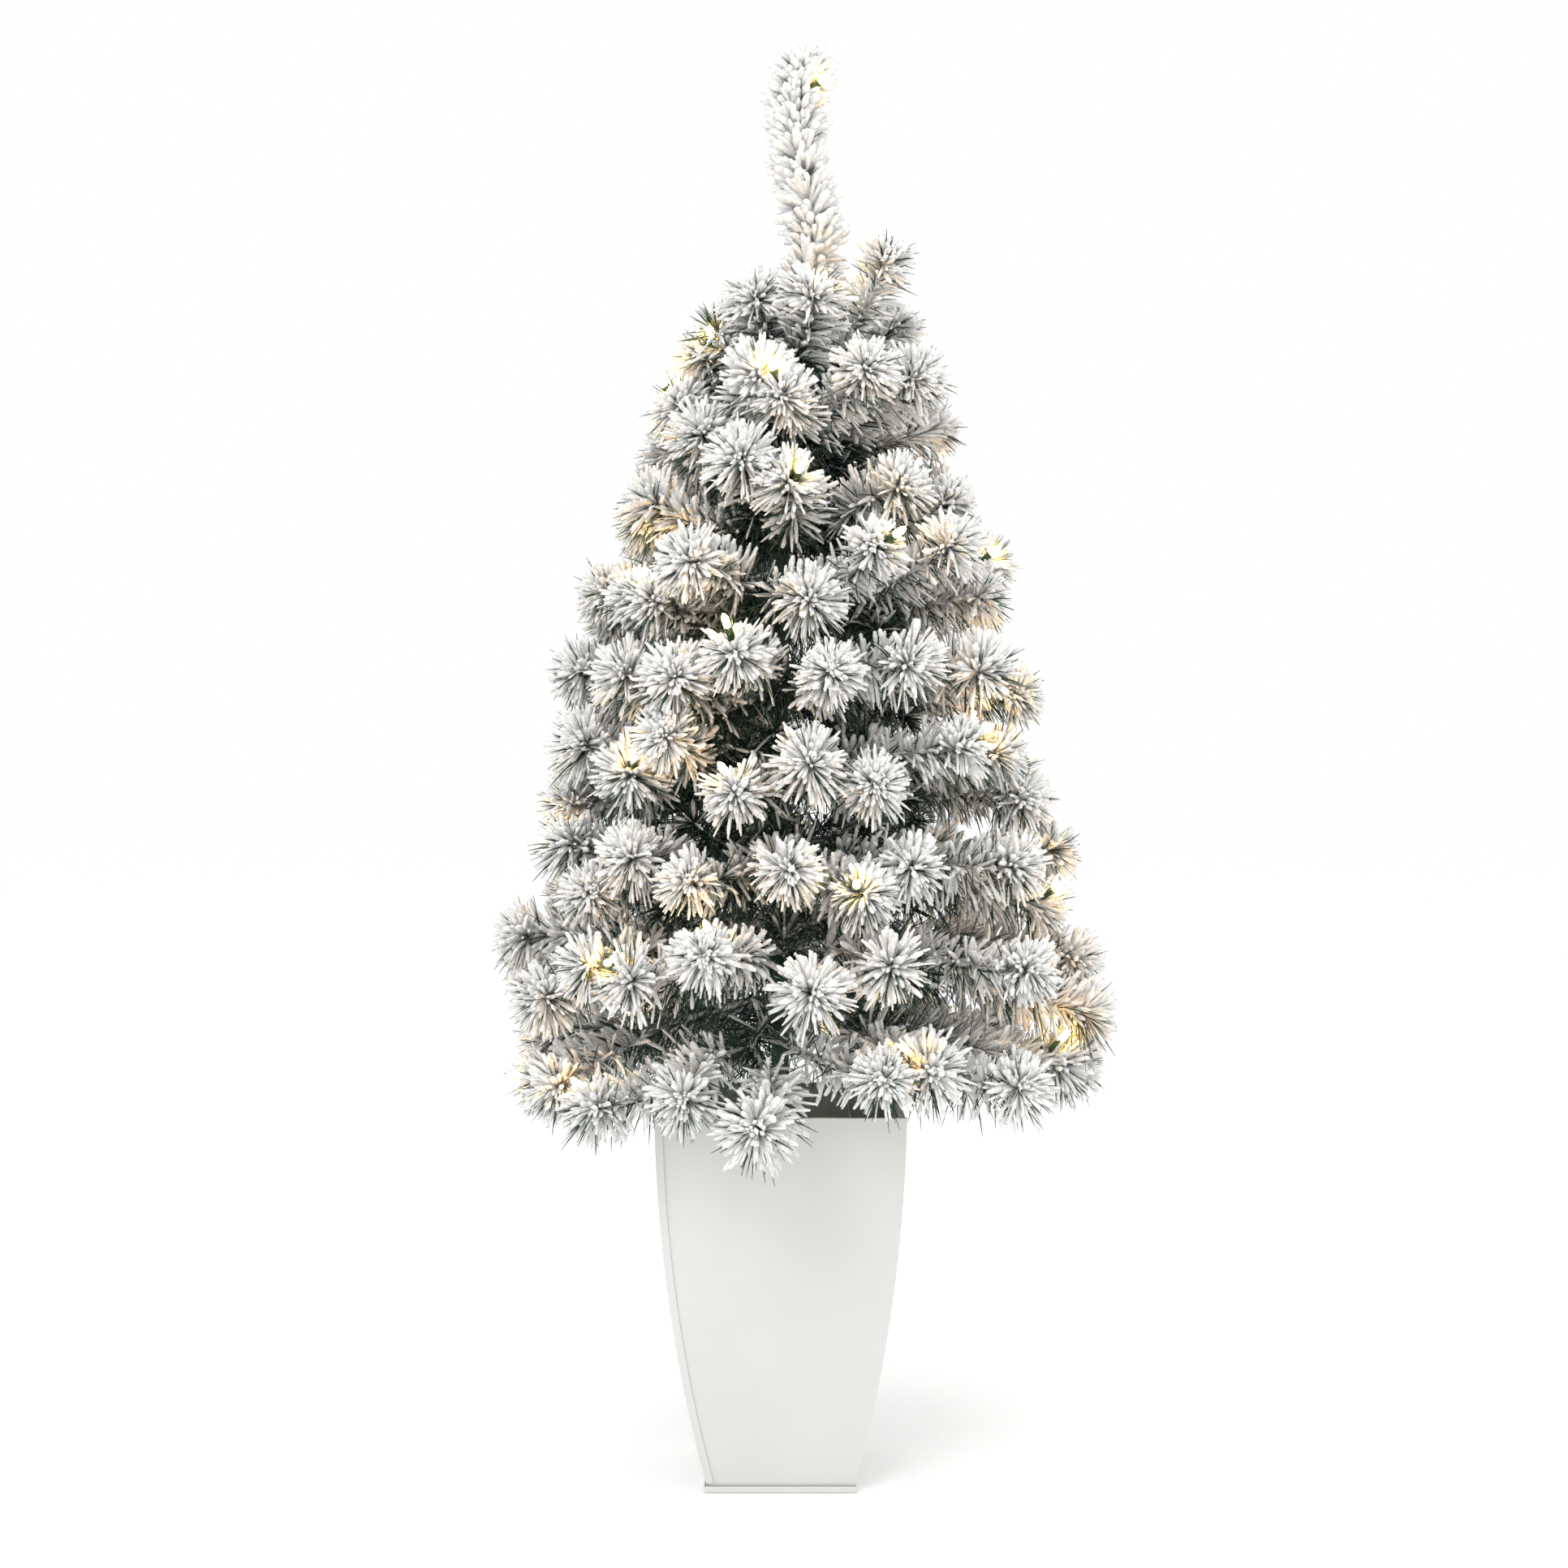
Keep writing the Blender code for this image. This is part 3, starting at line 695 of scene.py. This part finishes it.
def leader_lamp_place():
    direction = Vector(LEADER_LAMP_DIRECTION).normalized()
    level = math.hypot(direction.x, direction.y)
    stand_off = (LEADER_CORE_R + HOLDER_R * direction.z + GAP) / level
    return leader_axis(LEADER_LAMP_HEIGHT) + direction * stand_off, direction


def reach_share(directions, tangents):
    """Needles that point along the wire are shorter than those that stand out from its side."""
    forward = np.clip(np.sum(directions * tangents, axis=1), 0.0, 1.0)
    return FORWARD_LENGTH + (1.0 - FORWARD_LENGTH) * np.sqrt(1.0 - forward * forward)


def string_lamps():
    """Every lamp on the branches: its tier, branch and tip, its share of the wire, and its leans."""
    tips = [
        (tier, branch, tip)
        for tier, (branches, tips_each, _, _, _) in enumerate(TIERS)
        for branch in range(branches)
        for tip in range(tips_each)
    ]
    lamps = []
    for count, place in enumerate(tips[::TIPS_PER_LAMP]):
        share = LAMP_SHARES[count % len(LAMP_SHARES)]
        lamps.append((*place, share, *LAMP_LEANS[count % len(LAMP_LEANS)]))
    return lamps


LAMPS = string_lamps()


def lamp_axes():
    """Both ends of every lamp's axis, for the needles to keep clear of."""
    ends = []
    for tier, branch, tip, share, aside, up in LAMPS:
        foot, direction, _ = lamp_place(tip_line(tier, branch, tip), share, aside, up)
        ends.append((foot, foot + direction * (HOLDER_L + BULB_L + LAMP_CLEARING)))
    foot, direction = leader_lamp_place()
    ends.append((foot, foot + direction * (HOLDER_L + BULB_L + LAMP_CLEARING)))
    return np.array(ends)


def crosses_lamp(roots, directions, lengths):
    """Which needles pass so near a bulb that the bulb would have pushed them aside."""
    hit = np.zeros(len(roots), bool)
    distances = np.linalg.norm(roots[:, None] - LAMP_AXES[None, :, 1], axis=2)
    near = np.min(distances, axis=0) < LAMP_NEIGHBOURHOOD
    for start, end in LAMP_AXES[near]:
        axis = end - start
        bulb = HOLDER_L / np.linalg.norm(axis)
        for share in (0.25, 0.5, 0.75, 1.0):
            points = roots + directions * (lengths * share)[:, None]
            along = np.clip(((points - start) @ axis) / (axis @ axis), bulb, 1.0)
            hit |= np.linalg.norm(points - start - along[:, None] * axis, axis=1) < LAMP_CLEARING
    return hit


def flock_brush(
    bundle, line, count, rng, thickness=1.0, length=1.0, rosette=ROSETTE, lean=FLOCK_LEAN, start=0.0
):
    """Flocked needles round a line, thicker and more of them on the side that faces the sky."""
    roots, directions, tangents = sprout(line, count, rng, *lean, rosette, start)
    sky = np.clip(0.5 + 0.5 * directions[:, 2], 0.0, 1.0)
    keep = rng.random(count) < FLOCK_KEPT + FLOCK_KEPT_BY_SKY * sky
    roots, directions, tangents, sky = roots[keep], directions[keep], tangents[keep], sky[keep]
    n = len(roots)
    lengths = rng.uniform(0.74, 1.06, n) * length * reach_share(directions, tangents)
    lengths = trimmed(roots, directions, lengths, FLOCK_NEEDLE_L)
    depth = thickness * rng.uniform(0.65, 1.30, n) * (0.76 + 0.44 * sky)
    widths = np.column_stack((depth * rng.uniform(1.0, 1.7, n), depth))
    kind = rng.integers(0, len(FLOCK_SHAPES), n)
    kind[crosses_lamp(roots, directions, lengths * FLOCK_NEEDLE_L)] = -1
    droop = rng.uniform(0.0, FLOCK_DROOP, n)
    turns = rng.random(n) * 2 * np.pi
    for number, shape in enumerate(FLOCK_SHAPES):
        pick = kind == number
        if pick.any():
            bundle.add(
                shape,
                roots[pick],
                directions[pick],
                lengths[pick],
                widths[pick],
                turns[pick],
                droop[pick],
            )


def bare_brush(bundle, line, count, rng, length=1.0):
    """Thin green needles round a line, more of them on its underside."""
    roots, directions, tangents = sprout(line, count, rng, *BARE_LEAN, BARE_ROSETTE)
    under = 0.5 - 0.5 * directions[:, 2]
    keep = rng.random(count) < BARE_KEPT + BARE_KEPT_BY_SHADE * under
    roots, directions, tangents = roots[keep], directions[keep], tangents[keep]
    n = len(roots)
    lengths = rng.uniform(0.72, 1.08, n) * length * reach_share(directions, tangents)
    lengths = trimmed(roots, directions, lengths, BARE_NEEDLE_L)
    widths = np.repeat(rng.uniform(0.90, 1.50, n)[:, None], 2, axis=1)
    turns = rng.random(n) * 2 * np.pi
    bundle.add(
        BARE_SHAPE, roots, directions, lengths, widths, turns, rng.uniform(0, 0.005, n)
    )


# ---------------------------------------------------------------- branches


LAMP_AXES = lamp_axes()


def place_lamp(bulbs, leads, line, share, aside, up):
    """A lamp clipped to a tip, and the lead that runs from its holder back along the tip's wire."""
    foot, direction, wire = lamp_place(line, share, aside, up)
    leads.add_one(HOLDER, foot, direction)
    bulbs.add_one(BULB, foot + direction * HOLDER_L, direction)
    back = wire - np.array([0.0, 0.0, LEAD_BELOW_WIRE])
    lead = np.vstack((back, [foot - UP * LEAD_BELOW_WIRE * 0.5, foot]))
    leads.add_wire(lead, LEAD_R, THIN_ROD)


def build_branch(tier, branch):
    name = f"tier{tier + 1}_branch{branch + 1}"
    rng = np.random.default_rng(SEED + 100 * tier + branch)
    flock, bare, wires, bulbs, leads = (Bundle() for _ in range(5))
    stem = stem_line(tier, branch)
    wires.add_wire(stem, STEM_WIRE_R, ROD)
    flock_brush(flock, stem[2:], FLOCK_PER_STEM, rng, thickness=0.8, rosette=0.0)
    bare_brush(bare, stem[2:], BARE_PER_STEM, rng)
    for twig in TWIGS:
        line = twig_line(tier, branch, *twig)
        wires.add_wire(line, TWIG_WIRE_R, ROD)
        flock_brush(flock, line, FLOCK_PER_TWIG, rng, thickness=0.8, length=0.85)
        bare_brush(bare, line, BARE_PER_TWIG, rng, length=0.9)
    for tip in range(TIERS[tier][1]):
        line = tip_line(tier, branch, tip)
        wires.add_wire(line, TIP_WIRE_R, ROD)
        snow = SNOW + SNOW_SPREAD * wobble(tier, branch, tip, 7)
        fullness = FULLNESS + FULLNESS_SPREAD * wobble(tier, branch, tip, 8)
        flock_brush(
            flock, line, int(FLOCK_PER_TIP * snow), rng, length=fullness, start=UNFLOCKED_SHARE
        )
        bare_brush(bare, line, BARE_PER_TIP, rng, length=fullness)
    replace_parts(flock.make(name + "_flock", FLOCK, name, "flocked_foliage"), name)
    bare.make(name + "_needles", BARE, name, "green_needles")
    wires.make(name + "_wires", WIRE, name, "flocked_foliage")
    lamps = [lamp[2:] for lamp in LAMPS if lamp[:2] == (tier, branch)]
    for tip, share, aside, up in lamps:
        place_lamp(bulbs, leads, tip_line(tier, branch, tip), share, aside, up)
    if lamps:
        bulbs.make(name + "_bulbs", LAMP, name, "warm_lamp")
        leads.make(name + "_leads", CABLE, name, "green_cable")


for tier_number in range(len(TIERS)):
    for branch_number in range(TIERS[tier_number][0]):
        build_branch(tier_number, branch_number)


# ---------------------------------------------------------------- leader


def build_leader():
    rng = np.random.default_rng(SEED + 5000)
    line = np.array([(aside, 0.0, POLE_TOP + height) for height, aside in LEADER_BEND])
    flock, bare, wires = Bundle(), Bundle(), Bundle()
    flock_brush(
        flock, line, FLOCK_ON_LEADER, rng, thickness=1.70, length=0.95, rosette=0.05, lean=LEADER_LEAN
    )
    bare_brush(bare, line, BARE_ON_LEADER, rng, length=0.72)
    wires.add_wire(line, LEADER_WIRE_R, ROD)
    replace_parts(flock.make("leader_flock", FLOCK, "leader", "flocked_foliage"), "leader")
    bare.make("leader_needles", BARE, "leader", "green_needles")
    wires.make("leader_wire", WIRE, "leader", "flocked_foliage")


def build_leader_lamp():
    """The leader's own lamp, with its holder and bulb apart so that only the bulb is lit."""
    foot, direction = leader_lamp_place()
    bulbs, leads = Bundle(), Bundle()
    leads.add_one(HOLDER, foot, direction)
    bulbs.add_one(BULB, foot + direction * HOLDER_L, direction)
    line = [leader_axis(height) - Vector((0, LEADER_WIRE_R, 0)) for height in (0.02, 0.07, 0.12, 0.16)]
    leads.add_wire(np.array(line + [foot]), LEAD_R, THIN_ROD)
    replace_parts(bulbs.make("leader_bulb", LAMP, "leader", "warm_lamp"), "leader_lamp")
    leads.make("leader_lead", CABLE, "leader", "green_cable")


build_leader()
build_leader_lamp()


# ---------------------------------------------------------------- finishes on the carried-over nodes


def finish_node(name, finish):
    node = NODES[name]
    node.data.materials.clear()
    node.data.materials.append(finish)


for node_name in NODES:
    if node_name.startswith("planter_panel") or node_name == "planter_base_tray":
        finish_node(node_name, PAINT)
    elif node_name.endswith("_binding"):
        finish_node(node_name, TAPE)
finish_node("planter_ballast", CEMENT)
finish_node("trunk_socket", STEEL)
finish_node("trunk_pole", TRUNK_PAINT)
finish_node("light_string_riser", CABLE)
finish_node("power_inlet", CABLE)


# ---------------------------------------------------------------- floor, light and camera

CAMERA_AT = (0.003, -1.634, 0.542)
LENS = 47.3


def build_stage():
    deselect()
    bpy.ops.mesh.primitive_plane_add(size=60.0, location=(0, 0, -0.0005))
    floor = bpy.context.object
    floor.name = "floor"
    pale, _, shader = new_finish("pale_floor", 0.9)
    shader.inputs["Base Color"].default_value = (1.0, 1.0, 1.0, 1.0)
    floor.data.materials.append(pale)


def add_light(name, place, size, power, target=(0.0, 0.0, 0.6)):
    data = bpy.data.lights.new(name, "AREA")
    data.shape = "SQUARE"
    data.size = size
    data.energy = power
    made = bpy.data.objects.new(name, data)
    made.location = place
    aim = Vector(target) - Vector(place)
    made.rotation_euler = aim.to_track_quat("-Z", "Y").to_euler()
    bpy.context.scene.collection.objects.link(made)


def build_light():
    world = bpy.data.worlds.new("studio")
    world.use_nodes = True
    sky = world.node_tree.nodes["Background"]
    sky.inputs["Color"].default_value = (1.0, 1.0, 1.0, 1.0)
    sky.inputs["Strength"].default_value = 1.0
    bpy.context.scene.world = world
    add_light("key", (-0.9, -2.2, 2.3), 1.2, 28.0, target=(0.0, 0.0, 0.75))
    add_light("fill", (2.0, -1.6, 1.2), 1.6, 8.0)
    add_light("top", (0.0, -0.2, 2.8), 1.6, 12.0)
    bpy.context.scene.view_settings.view_transform = "Standard"


def build_camera():
    data = bpy.data.cameras.new("camera")
    data.lens = LENS
    data.sensor_width = 36.0
    made = bpy.data.objects.new("camera", data)
    made.location = CAMERA_AT
    made.rotation_euler = (math.radians(90), 0, 0)
    bpy.context.scene.collection.objects.link(made)
    bpy.context.scene.camera = made


build_stage()
build_light()
build_camera()
